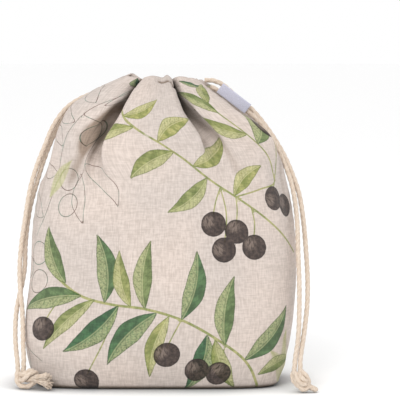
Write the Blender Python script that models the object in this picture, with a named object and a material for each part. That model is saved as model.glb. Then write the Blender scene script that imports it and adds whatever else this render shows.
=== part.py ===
"""A linen bread bag with a boxed base, drawn closed at its mouth by two cords and standing upright.

Metres, +Z up, the front towards -Y, the origin under the middle of the bag on the floor.
The tables below are in millimetres. "Cloth" is a distance along the cloth around the bag: 0 at the
left side seam, PANEL_CLOTH at the right one and twice that back at the left.
"""
import math

import bmesh
import bpy
import numpy as np
from mathutils import Vector

MM = 0.001

# ---- driving dimensions, mm ----
PANEL_CLOTH = 350.0        # width of one panel from seam to seam
CLOTH_THICK = 1.4          # linen with its seam allowances
SEAM_GAP = 0.8              # between the two panels along their seams
BASE_ROUNDING = 9.0        # radius between the flat base and the walls
FOLD_FULL_HEIGHT = 283.0   # above this the gathers have their whole depth
EDGE_RISE_FROM = 284.0     # above this the mouth's edge starts to rise and fall
NORMAL_STEP = 0.5           # of cloth, to each side of a point, for its normal
ROW_SPACING = 12.5         # between rows of faces up the wall
WIDE_GATHER = 16.0         # rows of the GATHERS table further apart than this get 3 faces, others 2

CORD_DIAMETER = 5.0
CORD_POINTS = 20
CORD_SIDES_RESOLUTION = 2

LABEL_LENGTH = 35.5
LABEL_WIDTH = 11.5
LABEL_THICK = 1.0

# Outline of the bag, from the top of the base rounding up to the mouth.
# Columns: height, half-sizes to the left, right, front and back, and squareness of the section.
PROFILE = [
    (9, 130.5, 119.5, 66.0, 64.0, 4.6),
    (22, 134.5, 125.0, 69.5, 67.5, 4.0),
    (45, 138.0, 130.0, 72.5, 71.0, 3.4),
    (72, 138.0, 134.0, 74.0, 73.0, 3.0),
    (110, 135.0, 135.5, 73.5, 73.5, 2.6),
    (154, 132.5, 133.8, 71.5, 72.0, 2.5),
    (185, 127.0, 129.8, 69.0, 69.5, 2.45),
    (210, 121.0, 125.0, 66.0, 66.5, 2.4),
    (228, 116.5, 122.0, 63.0, 63.5, 2.4),
    (243, 112.0, 117.5, 60.5, 60.5, 2.35),
    (255, 108.0, 111.5, 58.0, 57.5, 2.3),
    (266, 102.5, 101.5, 55.5, 54.5, 2.3),
    (275, 97.5, 90.0, 53.0, 51.5, 2.3),
    (283, 90.5, 80.5, 50.0, 48.5, 2.3),
    (290, 80.0, 69.5, 46.5, 45.0, 2.3),
    (296, 71.0, 61.0, 43.0, 41.5, 2.3),
    (301, 60.5, 53.5, 39.5, 38.0, 2.3),
    (305, 51.0, 47.5, 36.0, 34.5, 2.3),
    (308, 44.0, 43.0, 32.5, 31.0, 2.3),
]

MOUTH_HEIGHT = PROFILE[-1][0]

# Plan of the gathered mouth, as a share of the outline's half-sizes: x to the right, y to the back.
# "lean" moves the fold sideways half-way down it, "foot" is the height where it runs out into the
# smooth wall, and "rise" lifts the mouth's edge, in mm.
# Columns: cloth distance from the left seam, x, y, lean, foot, rise.
GATHERS = [
    (0, -0.670, 0.03, 0.000, 195, -3.0),        # left seam, in a valley under the cords
    (21, -0.950, -0.31, 0.000, 192, -1.0),
    (48, -0.950, -0.52, -0.010, 195, 0.0),      # left roll
    (68, -0.800, -0.84, -0.030, 195, 2.5),
    (82, -0.580, -0.95, -0.060, 192, 1.5),
    (93, -0.415, -0.76, -0.110, 190, -1.0),
    (102, -0.300, -0.28, -0.145, 190, -5.0),    # left valley
    (112, -0.250, -0.50, -0.160, 190, -4.0),
    (124, -0.405, -0.94, -0.150, 194, 0.0),     # centre flute, its left edge over the valley
    (135, -0.360, -1.06, -0.120, 200, 1.5),
    (152, -0.220, -1.06, -0.050, 210, 3.0),
    (172, -0.090, -1.03, 0.000, 220, 2.5),
    (190, 0.020, -1.01, 0.010, 222, 1.5),
    (203, 0.120, -0.99, 0.020, 222, 4.0),       # a raised tip of the casing
    (213, 0.200, -0.96, 0.035, 222, 2.0),
    (221, 0.240, -0.82, 0.050, 222, -1.0),      # centre flute, its right edge over the valley
    (231, 0.110, -0.46, 0.050, 222, -4.0),
    (239, 0.150, -0.22, 0.045, 222, -5.0),      # right valley
    (250, 0.270, -0.74, 0.035, 222, 0.0),
    (264, 0.400, -0.97, 0.010, 224, 2.0),       # right roll
    (296, 0.720, -0.88, 0.000, 226, 1.0),
    (316, 0.820, -0.66, 0.040, 226, 0.0),       # its edge over a narrow valley
    (327, 0.660, -0.42, 0.050, 220, -2.0),
    (338, 0.735, -0.25, 0.030, 212, -3.0),
    (350, 0.835, -0.14, 0.020, 205, -3.0),      # right seam, on a ridge
    (361, 0.780, 0.01, 0.020, 200, -3.0),       # a narrow valley under the cords
    (372, 0.765, 0.15, 0.020, 205, -3.0),
    (391, 0.930, 0.38, 0.000, 212, -3.0),
    (414, 0.880, 0.64, 0.000, 218, -3.0),       # back right roll
    (440, 0.620, 0.92, 0.000, 215, -3.0),
    (461, 0.440, 0.62, 0.000, 212, -4.0),
    (477, 0.320, 0.36, 0.000, 210, -6.0),       # back right valley
    (493, 0.220, 0.66, 0.000, 212, -4.0),
    (514, 0.060, 0.98, 0.000, 218, -3.0),       # back middle flute
    (545, -0.180, 0.95, 0.000, 220, -3.0),
    (563, -0.260, 0.62, 0.000, 215, -4.0),
    (579, -0.360, 0.34, 0.000, 210, -6.0),      # back left valley
    (596, -0.500, 0.62, 0.000, 208, -2.0),
    (622, -0.700, 0.88, 0.000, 205, 3.0),       # back left roll
    (652, -0.870, 0.60, 0.000, 200, 1.0),
    (679, -0.910, 0.38, 0.000, 195, -1.0),
]

# Soft hollows (positive depth) and swellings (negative) of the filled cloth.
# Columns: cloth distance, height, reach along the cloth, reach in height, depth.
DENTS = [
    (96, 268, 9, 14, 9.0),      # hollow under the left roll, beside the centre flute
    (88, 218, 26, 32, 4.0),     # below the left valley
    (251, 272, 9, 13, 8.0),     # hollow under the right roll, beside the centre flute
    (244, 252, 12, 14, 5.0),
    (60, 170, 18, 60, 3.0),
    (243, 222, 24, 20, 5.0),    # below the right valley
    (318, 205, 14, 60, 3.0),    # down the right side
    (300, 95, 30, 60, -2.0),
    (40, 60, 26, 40, -2.5),
    (150, 60, 60, 40, -2.0),
    (225, 120, 40, 60, 2.0),
    (120, 120, 40, 70, 1.5),
    (345, 60, 20, 40, 2.0),     # right side seam above the base
    (322, 249, 14, 28, -5.0),   # front right roll, bulging past the cords
    (353, 229, 12, 28, 4.0),    # right side seam under the cords
    (8, 110, 16, 60, 2.5),      # left side seam
    (470, 195, 34, 40, 5.0),    # back
    (585, 190, 34, 44, 5.0),
    (430, 80, 50, 50, 2.5),
    (540, 70, 60, 44, -2.5),
    (640, 90, 34, 60, 2.5),
]

# Routes of the four free strands, from the casing at a side seam down to their knot.
# Columns: x, y, z.
CORD_ROUTES = {
    "cord_left_front": [
        (-54.5, -2.8, 296.8), (-61.0, -2.9, 295.2), (-69.0, -3.3, 292.3), (-79.0, -3.8, 288.3),
        (-90.0, -4.0, 282.3), (-98.0, -4.2, 275.5), (-105.5, -4.5, 266.0), (-112.0, -5.0, 254.5),
        (-118.3, -5.5, 239.0), (-126.0, -6.0, 220.0), (-133.0, -8.0, 196.0), (-138.2, -11.0, 165.0),
        (-142.0, -16.0, 138.0), (-143.2, -23.0, 115.0), (-142.2, -29.0, 95.0), (-140.3, -34.0, 78.0),
        (-139.4, -38.0, 61.0), (-139.0, -43.0, 44.0), (-138.0, -48.7, 30.5), (-138.0, -51.0, 21.1),
    ],
    "cord_left_back": [
        (-54.2, 3.5, 294.6), (-61.0, 3.4, 292.7), (-69.0, 2.9, 290.0), (-78.0, 2.8, 285.5),
        (-88.0, 2.6, 278.5), (-96.5, 2.4, 270.5), (-104.2, 2.0, 260.0), (-111.6, 1.6, 245.0),
        (-118.8, 1.2, 227.0), (-127.0, 0.0, 201.0), (-133.9, -2.0, 175.0), (-138.0, -8.0, 142.0),
        (-138.6, -14.0, 118.0), (-140.8, -20.0, 102.0), (-143.8, -25.0, 88.0), (-146.4, -30.0, 73.0),
        (-147.2, -36.0, 53.0), (-145.9, -43.0, 36.0), (-144.6, -48.3, 27.5), (-143.9, -50.9, 20.1),
    ],
    "cord_right_back": [
        (42.6, 6.0, 304.7), (51.0, 5.9, 304.5), (60.0, 5.5, 301.0), (70.5, 4.4, 292.4),
        (81.5, 3.9, 282.9), (91.5, 3.4, 274.4), (104.2, 2.8, 259.0), (114.8, 1.4, 243.5),
        (124.2, -0.6, 227.0), (132.6, -3.0, 207.0), (138.2, -5.0, 190.0), (142.2, -10.0, 165.0),
        (144.6, -20.0, 136.0), (146.0, -31.0, 107.0), (145.2, -43.0, 82.0), (141.6, -57.0, 55.0),
        (137.6, -71.5, 32.0), (137.3, -77.2, 21.7),
    ],
    "cord_right_front": [
        (48.6, 1.2, 299.0), (55.4, 1.1, 295.2), (62.4, 0.8, 290.4), (72.2, -0.3, 283.2),
        (85.6, -1.6, 274.0), (98.4, -3.0, 262.9), (107.8, -4.2, 250.5), (116.0, -5.0, 237.4),
        (123.4, -6.0, 221.0), (129.9, -8.5, 203.0), (133.4, -14.0, 186.0), (135.6, -25.0, 163.0),
        (136.4, -37.0, 130.0), (137.2, -45.0, 105.0), (137.0, -54.0, 80.0), (135.8, -63.0, 53.0),
        (132.4, -72.5, 31.0), (131.3, -77.1, 20.5),
    ],
}

# Knots: centre and half-sizes, along the tail, across it and upwards, with the tail's direction.
KNOTS = {
    "knot_left": ((-137.3, -57.0, 12.0), (13.0, 10.5, 12.0), (0.86, -0.50, -0.06)),
    "knot_right": ((136.8, -80.0, 11.6), (11.8, 10.2, 11.6), (0.88, -0.18, -0.43)),
}
# Rings of the tail: distance from the knot's centre, half-width across and upwards.
TAILS = {
    "knot_left": [(12.4, 4.0, 4.4), (14.4, 3.4, 4.4), (16.4, 3.6, 5.2)],
    "knot_right": [(11.6, 3.2, 3.2), (14.0, 2.6, 2.6), (17.5, 2.7, 2.7), (21.0, 2.5, 2.5)],
}
KNOT_LATITUDES = (-72, -56, -40, -25, -10, 5, 20, 35, 50, 64)
KNOT_SEGMENTS = 16
KNOT_WRAP_HEIGHT = 0.20      # share of the knot's radius
# A wrap is a raised band around the knot, square to this direction.
WRAPS = {
    "knot_left": [(0.45, -0.35, 0.82), (-0.80, -0.20, 0.55)],
    "knot_right": [(0.10, -0.45, 0.88), (0.85, -0.25, -0.47)],
}
WRAP_WIDTH = 0.28            # of the knot's radius
# The left tail is frayed into locks, one from each face of its end.
LOCK_STEPS = 2
LOCK_LENGTH = 15.0
LOCK_LENGTH_SPREAD = 3.0
LOCK_SPREAD_UP = 0.70        # how far a lock turns outwards for its place in the end
LOCK_SPREAD_ACROSS = 0.35
LOCK_TAPER = 0.92
LOCK_GAP = 0.16

LABEL_CENTRE = (72.2, -7.0, 287.1)
LABEL_TILT = math.radians(37.5)
LABEL_LEAN = math.radians(8.0)

# ---- colours ----
LINEN = (0.70, 0.63, 0.56)
COTTON = (0.78, 0.68, 0.57)
LABEL_WHITE = (0.66, 0.66, 0.74)


# ---- curves through rows ----
def smooth_rows(keys, rows, at, period=None):
    """Read a smooth curve through `rows`, one at each of `keys`, at the places `at`."""
    keys = np.asarray(keys, float)
    rows = np.asarray(rows, float)
    if period:
        keys = np.concatenate([keys[-2:] - period, keys, keys[:2] + period])
        rows = np.concatenate([rows[-2:], rows, rows[:2]])
    slopes = np.empty_like(rows)
    slopes[1:-1] = (rows[2:] - rows[:-2]) / (keys[2:] - keys[:-2])[:, None]
    slopes[0] = (rows[1] - rows[0]) / (keys[1] - keys[0])
    slopes[-1] = (rows[-1] - rows[-2]) / (keys[-1] - keys[-2])
    at = np.asarray(at, float)
    i = np.clip(np.searchsorted(keys, at, side="right") - 1, 0, len(keys) - 2)
    span = (keys[i + 1] - keys[i])[:, None]
    f = ((at - keys[i]) / (keys[i + 1] - keys[i]))[:, None]
    return ((1 + 2 * f) * (1 - f) ** 2 * rows[i] + f * (1 - f) ** 2 * span * slopes[i]
            + f * f * (3 - 2 * f) * rows[i + 1] + f * f * (f - 1) * span * slopes[i + 1])


def chord_keys(points):
    """Distance along straight runs between points, from 0."""
    steps = np.linalg.norm(np.diff(np.asarray(points, float), axis=0), axis=1)
    return np.concatenate([[0], np.cumsum(steps)])


def smooth_step(value):
    value = np.clip(value, 0, 1)
    return value * value * (3 - 2 * value)


# ---- the bag's surface ----
def outline_rows():
    """The outline's rows with the base rounding below them, and the cloth length up to each."""
    height, left, right, front, back, square = PROFILE[0]
    rows = []
    for degrees in (0, 30, 60):
        angle = math.radians(degrees)
        inset = BASE_ROUNDING * (1 - math.sin(angle))
        rows.append((height - BASE_ROUNDING * math.cos(angle), left - inset, right - inset,
                     front - inset, back - inset, square))
    rows = np.array(rows + PROFILE, float)
    keys = chord_keys(rows[:, [0, 1]])
    return keys, rows


def plain_section(row, cloth):
    """Plan points of one row's smooth section at the distances `cloth` around it."""
    _, left, right, front, back, square = row
    angle = np.linspace(0, 2 * math.pi, 1441)
    power = 2 / square
    x = -np.sign(np.cos(angle)) * np.abs(np.cos(angle)) ** power
    y = -np.sign(np.sin(angle)) * np.abs(np.sin(angle)) ** power
    x = x * np.where(x < 0, left, right)
    y = y * np.where(y < 0, front, back)
    length = chord_keys(np.column_stack([x, y]))
    half = length[720]
    around = np.where(length <= half, length / half, 1 + (length - half) / (length[-1] - half))
    around = around * PANEL_CLOTH
    cloth = np.mod(cloth, 2 * PANEL_CLOTH)
    return np.interp(cloth, around, x), np.interp(cloth, around, y)


def folded_points(cloth, up):
    """The folded cloth before its dents, at each place `up` (rows) and cloth distance (columns)."""
    keys, rows = outline_rows()
    rows = smooth_rows(keys, rows, up)
    gather_keys = [row[0] for row in GATHERS]
    gathers = smooth_rows(gather_keys, [row[1:] for row in GATHERS], cloth, 2 * PANEL_CLOTH)
    gather_x, gather_y, lean, foot, rise = gathers.T
    points = np.empty((len(up), len(cloth), 3))
    for i, row in enumerate(rows):
        height, left, right, front, back, _ = row
        x, y = plain_section(row, cloth)
        share = smooth_step((height - foot) / (FOLD_FULL_HEIGHT - foot))
        fold_x = (gather_x + 4 * lean * (1 - share)) * np.where(gather_x < 0, left, right)
        fold_y = gather_y * np.where(gather_y < 0, front, back)
        points[i, :, 0] = x + share * (fold_x - x)
        points[i, :, 1] = y + share * (fold_y - y)
        edge_share = smooth_step((height - EDGE_RISE_FROM) / (MOUTH_HEIGHT - EDGE_RISE_FROM))
        points[i, :, 2] = height + rise * edge_share
    return points


def bag_points(cloth, up):
    """Outer surface of the bag, in mm."""
    points = folded_points(cloth, up)
    depth = dent_depth(cloth, points[:, :, 2])
    return points - surface_normals(folded_points, cloth, up) * depth[:, :, None]


def dent_depth(cloth, height):
    """How far the cloth is pushed in, for the height of each point (rows by columns)."""
    depth = np.zeros(height.shape)
    for at_cloth, at_height, cloth_reach, height_reach, amount in DENTS:
        away = np.abs(np.mod(cloth, 2 * PANEL_CLOTH) - at_cloth)
        away = np.minimum(away, 2 * PANEL_CLOTH - away) / cloth_reach
        over = (height - at_height) / height_reach
        depth += amount * np.exp(-(away ** 2 + over ** 2))
    return depth * smooth_step((height - BASE_ROUNDING) / 20)


def surface_normals(surface, cloth, up):
    """Outward unit normals of a surface given as a function of cloth distance and place up it."""
    around = surface(cloth + NORMAL_STEP, up) - surface(cloth - NORMAL_STEP, up)
    upward = surface(cloth, up + NORMAL_STEP) - surface(cloth, up - NORMAL_STEP)
    normals = np.cross(around, upward)
    return normals / np.linalg.norm(normals, axis=2, keepdims=True)


# ---- making objects ----
def add_material(thing, colour, roughness):
    material = bpy.data.materials.new(thing.name)
    material.use_nodes = True
    shader = material.node_tree.nodes["Principled BSDF"]
    shader.inputs["Base Color"].default_value = (*colour, 1)
    shader.inputs["Roughness"].default_value = roughness
    thing.data.materials.append(material)


def add_mesh(name, vertices, faces, colour, roughness=0.9):
    """One closed mesh object from vertices in mm."""
    mesh = bpy.data.meshes.new(name)
    mesh.from_pydata([Vector(v) * MM for v in vertices], [], faces)
    mesh.validate()
    mesh.shade_smooth()
    thing = bpy.data.objects.new(name, mesh)
    bpy.context.collection.objects.link(thing)
    add_material(thing, colour, roughness)
    return thing


def up_stations():
    """Places of the rows of faces: the base rounding, then even steps up to the mouth."""
    keys, rows = outline_rows()
    wall = keys[-1] - keys[3]
    count = round(wall / ROW_SPACING)
    return np.concatenate([keys[:3], np.linspace(keys[3], keys[-1], count + 1)])


def cloth_stations(start, end):
    """Places of the columns of faces between two seams, close where the gathers turn."""
    keys = [row[0] for row in GATHERS] + [2 * PANEL_CLOTH]
    inside = [key for key in keys if start <= key <= end]
    stations = []
    for low, high in zip(inside, inside[1:]):
        faces = 3 if high - low > WIDE_GATHER else 2
        stations += list(np.linspace(low, high, faces, endpoint=False))
    return np.array(stations + [end])


def make_panel(name, start, end):
    """A panel of cloth from seam to seam, with its half of the flat base, as one closed shell."""
    cloth = cloth_stations(start, end)
    up = up_stations()
    outer = bag_points(cloth, up)
    inner = outer - surface_normals(bag_points, cloth, up) * CLOTH_THICK
    for edge, beside in ((0, 1), (-1, -2)):
        step = outer[:, beside] - outer[:, edge]
        step *= SEAM_GAP / 2 / np.linalg.norm(step, axis=1, keepdims=True)
        outer[:, edge] += step
        inner[:, edge] += step
    inner[0] = outer[0] + (0, 0, CLOTH_THICK)
    rows, columns = len(up), len(cloth)
    vertices = np.concatenate([outer.reshape(-1, 3), inner.reshape(-1, 3)])
    shift = rows * columns

    def at(row, column):
        return row * columns + column

    faces = []
    for row in range(rows - 1):
        for column in range(columns - 1):
            quad = (at(row, column), at(row, column + 1),
                    at(row + 1, column + 1), at(row + 1, column))
            faces.append(quad)
            faces.append(tuple(shift + corner for corner in reversed(quad)))
    rim = [at(0, c) for c in range(columns)]
    rim += [at(r, columns - 1) for r in range(1, rows)]
    rim += [at(rows - 1, c) for c in range(columns - 2, -1, -1)]
    rim += [at(r, 0) for r in range(rows - 2, 0, -1)]
    walls = rim[columns - 1:] + rim[:1]
    for first, second in zip(walls, walls[1:]):
        faces.append((second, first, shift + first, shift + second))
    base = rim[:columns]
    faces.append(tuple(reversed(base)))
    faces.append(tuple(shift + corner for corner in base))
    faces.append((base[-1], base[0], shift + base[0], shift + base[-1]))
    return add_mesh(name, vertices, faces, LINEN)


def make_cord(name, route):
    """A free strand: a round tube along a smooth curve through the route's points."""
    keys = chord_keys(route)
    points = smooth_rows(keys, route, np.linspace(0, keys[-1], CORD_POINTS))
    curve = bpy.data.curves.new(name, "CURVE")
    curve.dimensions = "3D"
    curve.bevel_depth = CORD_DIAMETER / 2 * MM
    curve.bevel_resolution = CORD_SIDES_RESOLUTION
    curve.use_fill_caps = True
    spline = curve.splines.new("POLY")
    spline.points.add(len(points) - 1)
    for target, point in zip(spline.points, points):
        target.co = (*(Vector(point) * MM), 1)
    thing = bpy.data.objects.new(name, curve)
    bpy.context.collection.objects.link(thing)
    add_material(thing, COTTON, 0.9)
    return thing


def knot_radius(name, direction):
    """Share of a knot's half-size in a direction from its centre, full on its raised wraps."""
    raised = 0.0
    for wrap in WRAPS[name]:
        off = direction.dot(Vector(wrap).normalized())
        raised = max(raised, math.exp(-(off / WRAP_WIDTH) ** 2))
    return 1 - KNOT_WRAP_HEIGHT * (1 - raised)


def make_knot(name):
    """The lump of an overhand knot tied in both strands, with its tail, as one closed solid."""
    centre, half_sizes, tail = KNOTS[name]
    centre = Vector(centre)
    along = Vector(tail).normalized()
    across = Vector((0, 0, 1)).cross(along).normalized()
    upward = along.cross(across)
    rings = []
    for degrees in KNOT_LATITUDES:
        latitude = math.radians(degrees)
        ring = []
        for segment in range(KNOT_SEGMENTS):
            turn = 2 * math.pi * segment / KNOT_SEGMENTS
            parts = (math.sin(latitude), math.cos(latitude) * math.cos(turn),
                     math.cos(latitude) * math.sin(turn))
            direction = along * parts[0] + across * parts[1] + upward * parts[2]
            share = knot_radius(name, direction)
            ring.append(centre + share * (along * parts[0] * half_sizes[0]
                                          + across * parts[1] * half_sizes[1]
                                          + upward * parts[2] * half_sizes[2]))
        rings.append(ring)
    for reach, half_across, half_up in TAILS[name]:
        rings.append([centre + along * reach
                      + across * half_across * math.cos(2 * math.pi * i / KNOT_SEGMENTS)
                      + upward * half_up * math.sin(2 * math.pi * i / KNOT_SEGMENTS)
                      for i in range(KNOT_SEGMENTS)])
    work = bmesh.new()
    rings = [[work.verts.new(point * MM) for point in ring] for ring in rings]
    pole = work.verts.new((centre - along * half_sizes[0] * (1 - KNOT_WRAP_HEIGHT)) * MM)
    for i in range(KNOT_SEGMENTS):
        work.faces.new((pole, rings[0][i - 1], rings[0][i]))
        for low, high in zip(rings, rings[1:]):
            work.faces.new((low[i - 1], high[i - 1], high[i], low[i]))
    end = centre + along * TAILS[name][-1][0]
    cap = close_tail(work, rings[-1], end * MM)
    if name == "knot_left":
        fray(work, cap, end * MM, (along, across, upward))
    bmesh.ops.recalc_face_normals(work, faces=work.faces)
    mesh = bpy.data.meshes.new(name)
    work.to_mesh(mesh)
    work.free()
    mesh.shade_smooth()
    thing = bpy.data.objects.new(name, mesh)
    bpy.context.collection.objects.link(thing)
    add_material(thing, COTTON, 0.9)
    return thing


def close_tail(work, ring, end):
    """Close a tail's end with a rim of quads around a middle of narrower ones; gives the faces."""
    middle = [work.verts.new(end + (vertex.co - end) * 0.5) for vertex in ring]
    count = len(ring)
    cap = [work.faces.new((ring[i - 1], middle[i - 1], middle[i], ring[i])) for i in range(count)]
    for i in range(count // 2 - 1):
        cap.append(work.faces.new((middle[i], middle[i + 1], middle[count - 2 - i],
                                   middle[(count - 1 - i) % count])))
    return cap


def fray(work, cap, end, axes):
    """Draw each face of a tail's end out into a tapering lock that turns away from its neighbours."""
    along, across, upward = axes
    work.normal_update()
    bmesh.ops.inset_individual(work, faces=cap, thickness=LOCK_GAP * MM)
    for number, face in enumerate(cap):
        offset = face.calc_center_median() - end
        length = LOCK_LENGTH + LOCK_LENGTH_SPREAD * math.sin(2.4 * number)
        sideways = (across * offset.dot(across) * LOCK_SPREAD_ACROSS
                    + upward * offset.dot(upward) * LOCK_SPREAD_UP) * (length / LOCK_LENGTH)
        for step in range(LOCK_STEPS):
            top = bmesh.ops.extrude_discrete_faces(work, faces=[face])["faces"][0]
            centre = top.calc_center_median()
            move = along * (length / LOCK_STEPS * MM) + sideways * ((step + 1) / LOCK_STEPS)
            for vertex in top.verts:
                vertex.co = centre + (vertex.co - centre) * LOCK_TAPER + move
            face = top


def make_label():
    """The blank woven label, a thin strip whose long side is caught in the right seam."""
    work = bmesh.new()
    bmesh.ops.create_cube(work, size=1)
    for vertex in work.verts:
        vertex.co = (vertex.co.x * LABEL_LENGTH * MM, vertex.co.y * LABEL_THICK * MM,
                     vertex.co.z * LABEL_WIDTH * MM)
    mesh = bpy.data.meshes.new("label")
    work.to_mesh(mesh)
    work.free()
    thing = bpy.data.objects.new("label", mesh)
    bpy.context.collection.objects.link(thing)
    thing.location = Vector(LABEL_CENTRE) * MM
    thing.rotation_euler = (LABEL_LEAN, LABEL_TILT, 0)
    add_material(thing, LABEL_WHITE, 0.8)
    return thing


def clear_scene():
    for thing in list(bpy.data.objects):
        bpy.data.objects.remove(thing, do_unlink=True)


def main():
    clear_scene()
    make_panel("front_panel", 0, PANEL_CLOTH)
    make_panel("back_panel", PANEL_CLOTH, 2 * PANEL_CLOTH)
    for name, route in CORD_ROUTES.items():
        make_cord(name, route)
    for name in KNOTS:
        make_knot(name)
    make_label()


main()
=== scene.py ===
import math
import random

import bpy
import numpy as np
from mathutils import Matrix, Vector


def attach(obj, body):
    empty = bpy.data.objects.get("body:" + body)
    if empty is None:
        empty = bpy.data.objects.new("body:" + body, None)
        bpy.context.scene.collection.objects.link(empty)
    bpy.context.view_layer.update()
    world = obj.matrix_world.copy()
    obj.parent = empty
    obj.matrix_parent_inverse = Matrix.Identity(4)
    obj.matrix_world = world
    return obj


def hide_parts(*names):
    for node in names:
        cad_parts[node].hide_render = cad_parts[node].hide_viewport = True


# The looks of the linen bread bag: two printed sheets of linen gathered at the neck, twisted cotton
# cords with their knots, a blank label, the light, the floor and the camera. Sizes are in
# millimetres where nothing else is said, in the frame's own axes: +X to the bag's label side, -Y
# out of its printed front, +Z up. The sheets follow the same surface as the CAD panels, read more
# finely, with seams, casing and small creases added.

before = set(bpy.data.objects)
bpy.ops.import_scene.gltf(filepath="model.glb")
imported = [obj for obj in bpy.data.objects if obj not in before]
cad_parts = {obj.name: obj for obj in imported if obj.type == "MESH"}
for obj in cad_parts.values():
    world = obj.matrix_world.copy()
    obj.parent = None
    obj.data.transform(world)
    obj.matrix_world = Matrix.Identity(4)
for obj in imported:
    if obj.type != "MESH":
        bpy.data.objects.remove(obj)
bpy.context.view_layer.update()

MM = 0.001

# ---- camera ----
CAMERA_DISTANCE = 3000
CAMERA_TILT = math.radians(5)        # looking down
VIEW_CENTRE = (38.1, 180.2)          # across and up, in the picture's plane through the origin
VIEW_HEIGHT = 412.7                  # of the picture, at that plane
SENSOR = 36                          # height of the camera's film

# ---- light and floor, in metres and watts ----
KEY_PLACE = (-0.55, -2.2, 1.7)
KEY_AIM = (0, 0, 0.16)
KEY_SIZE = 1.2
KEY_POWER = 31
FLOOR_REACH = 8.0                    # wide enough to run out of every view

# ---- cloth ----
PANEL_CLOTH = 350.0         # width of a panel around the bag, from seam to seam
BASE_ROUNDING = 9.0
SECTION_STEPS = 720         # for half the way round a section
FOLD_FULL_HEIGHT = 283.0    # where the folds are fully drawn in
EDGE_RISE_FROM = 284.0      # above it the uneven edge begins
NORMAL_STEP = 0.5           # to each side of a place, for its normal
CLOTH_THICK = 1.0
CASING_EXTRA = 0.9          # share of that added where the casing is folded double
SEAM_GAP = 0.35             # between the two panels
BASE_LIFT = 0.15            # of the base's outside over the floor
CASING_DEPTH = 21.0         # from the mouth's edge down to its stitches
BASE_SEAM = 11.0            # its place up the cloth
BACK_PRINT_TOP = 340.0      # place on the back where the upside-down print starts
FRONT_GRID = (236, 196)     # faces around and up
BACK_GRID = (150, 120)

# Columns: height, half-sizes to the left, right, front and back, and squareness of the section.
PROFILE = [
    (9, 130.5, 119.5, 66.0, 64.0, 4.6),
    (22, 134.5, 125.0, 69.5, 67.5, 4.0),
    (45, 138.0, 130.0, 72.5, 71.0, 3.4),
    (72, 138.0, 134.0, 74.0, 73.0, 3.0),
    (110, 135.0, 135.5, 73.5, 73.5, 2.6),
    (154, 132.5, 133.8, 71.5, 72.0, 2.5),
    (185, 127.0, 129.8, 69.0, 69.5, 2.45),
    (210, 121.0, 125.0, 66.0, 66.5, 2.4),
    (228, 116.5, 122.0, 63.0, 63.5, 2.4),
    (243, 112.0, 117.5, 60.5, 60.5, 2.35),
    (255, 108.0, 111.5, 58.0, 57.5, 2.3),
    (266, 102.5, 101.5, 55.5, 54.5, 2.3),
    (275, 97.5, 90.0, 53.0, 51.5, 2.3),
    (283, 90.5, 80.5, 50.0, 48.5, 2.3),
    (290, 80.0, 69.5, 46.5, 45.0, 2.3),
    (296, 71.0, 61.0, 43.0, 41.5, 2.3),
    (301, 60.5, 53.5, 39.5, 38.0, 2.3),
    (305, 51.0, 47.5, 36.0, 34.5, 2.3),
    (308, 44.0, 43.0, 32.5, 31.0, 2.3),
]
MOUTH_HEIGHT = PROFILE[-1][0]

# Where each place of the cloth goes at the neck. Columns: cloth distance from the left seam, x and
# y as shares of the section's half-sizes, lean of the fold, height of its foot, rise of the edge.
GATHERS = [
    (0, -0.670, 0.03, 0.000, 195, -3.0),        # left seam, in a valley under the cords
    (21, -0.950, -0.31, 0.000, 192, -1.0),
    (48, -0.950, -0.52, -0.010, 195, 0.0),      # left roll
    (68, -0.800, -0.84, -0.030, 195, 2.5),
    (82, -0.580, -0.95, -0.060, 192, 1.5),
    (93, -0.415, -0.76, -0.110, 190, -1.0),
    (102, -0.300, -0.28, -0.145, 190, -5.0),    # left valley
    (112, -0.250, -0.50, -0.160, 190, -4.0),
    (124, -0.405, -0.94, -0.150, 194, 0.0),     # centre flute, its left edge over the valley
    (135, -0.360, -1.06, -0.120, 200, 1.5),
    (152, -0.220, -1.06, -0.050, 210, 3.0),
    (172, -0.090, -1.03, 0.000, 220, 2.5),
    (190, 0.020, -1.01, 0.010, 222, 1.5),
    (203, 0.120, -0.99, 0.020, 222, 4.0),       # a raised tip of the casing
    (213, 0.200, -0.96, 0.035, 222, 2.0),
    (221, 0.240, -0.82, 0.050, 222, -1.0),      # centre flute, its right edge over the valley
    (231, 0.110, -0.46, 0.050, 222, -4.0),
    (239, 0.150, -0.22, 0.045, 222, -5.0),      # right valley
    (250, 0.270, -0.74, 0.035, 222, 0.0),
    (264, 0.400, -0.97, 0.010, 224, 2.0),       # right roll
    (296, 0.720, -0.88, 0.000, 226, 1.0),
    (316, 0.820, -0.66, 0.040, 226, 0.0),       # its edge over a narrow valley
    (327, 0.660, -0.42, 0.050, 220, -2.0),
    (338, 0.735, -0.25, 0.030, 212, -3.0),
    (350, 0.835, -0.14, 0.020, 205, -3.0),      # right seam, on a ridge
    (361, 0.780, 0.01, 0.020, 200, -3.0),       # a narrow valley under the cords
    (372, 0.765, 0.15, 0.020, 205, -3.0),
    (391, 0.930, 0.38, 0.000, 212, -3.0),
    (414, 0.880, 0.64, 0.000, 218, -3.0),       # back right roll
    (440, 0.620, 0.92, 0.000, 215, -3.0),
    (461, 0.440, 0.62, 0.000, 212, -4.0),
    (477, 0.320, 0.36, 0.000, 210, -6.0),       # back right valley
    (493, 0.220, 0.66, 0.000, 212, -4.0),
    (514, 0.060, 0.98, 0.000, 218, -3.0),       # back middle flute
    (545, -0.180, 0.95, 0.000, 220, -3.0),
    (563, -0.260, 0.62, 0.000, 215, -4.0),
    (579, -0.360, 0.34, 0.000, 210, -6.0),      # back left valley
    (596, -0.500, 0.62, 0.000, 208, -2.0),
    (622, -0.700, 0.88, 0.000, 205, 3.0),       # back left roll
    (652, -0.870, 0.60, 0.000, 200, 1.0),
    (679, -0.910, 0.38, 0.000, 195, -1.0),
]

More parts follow.
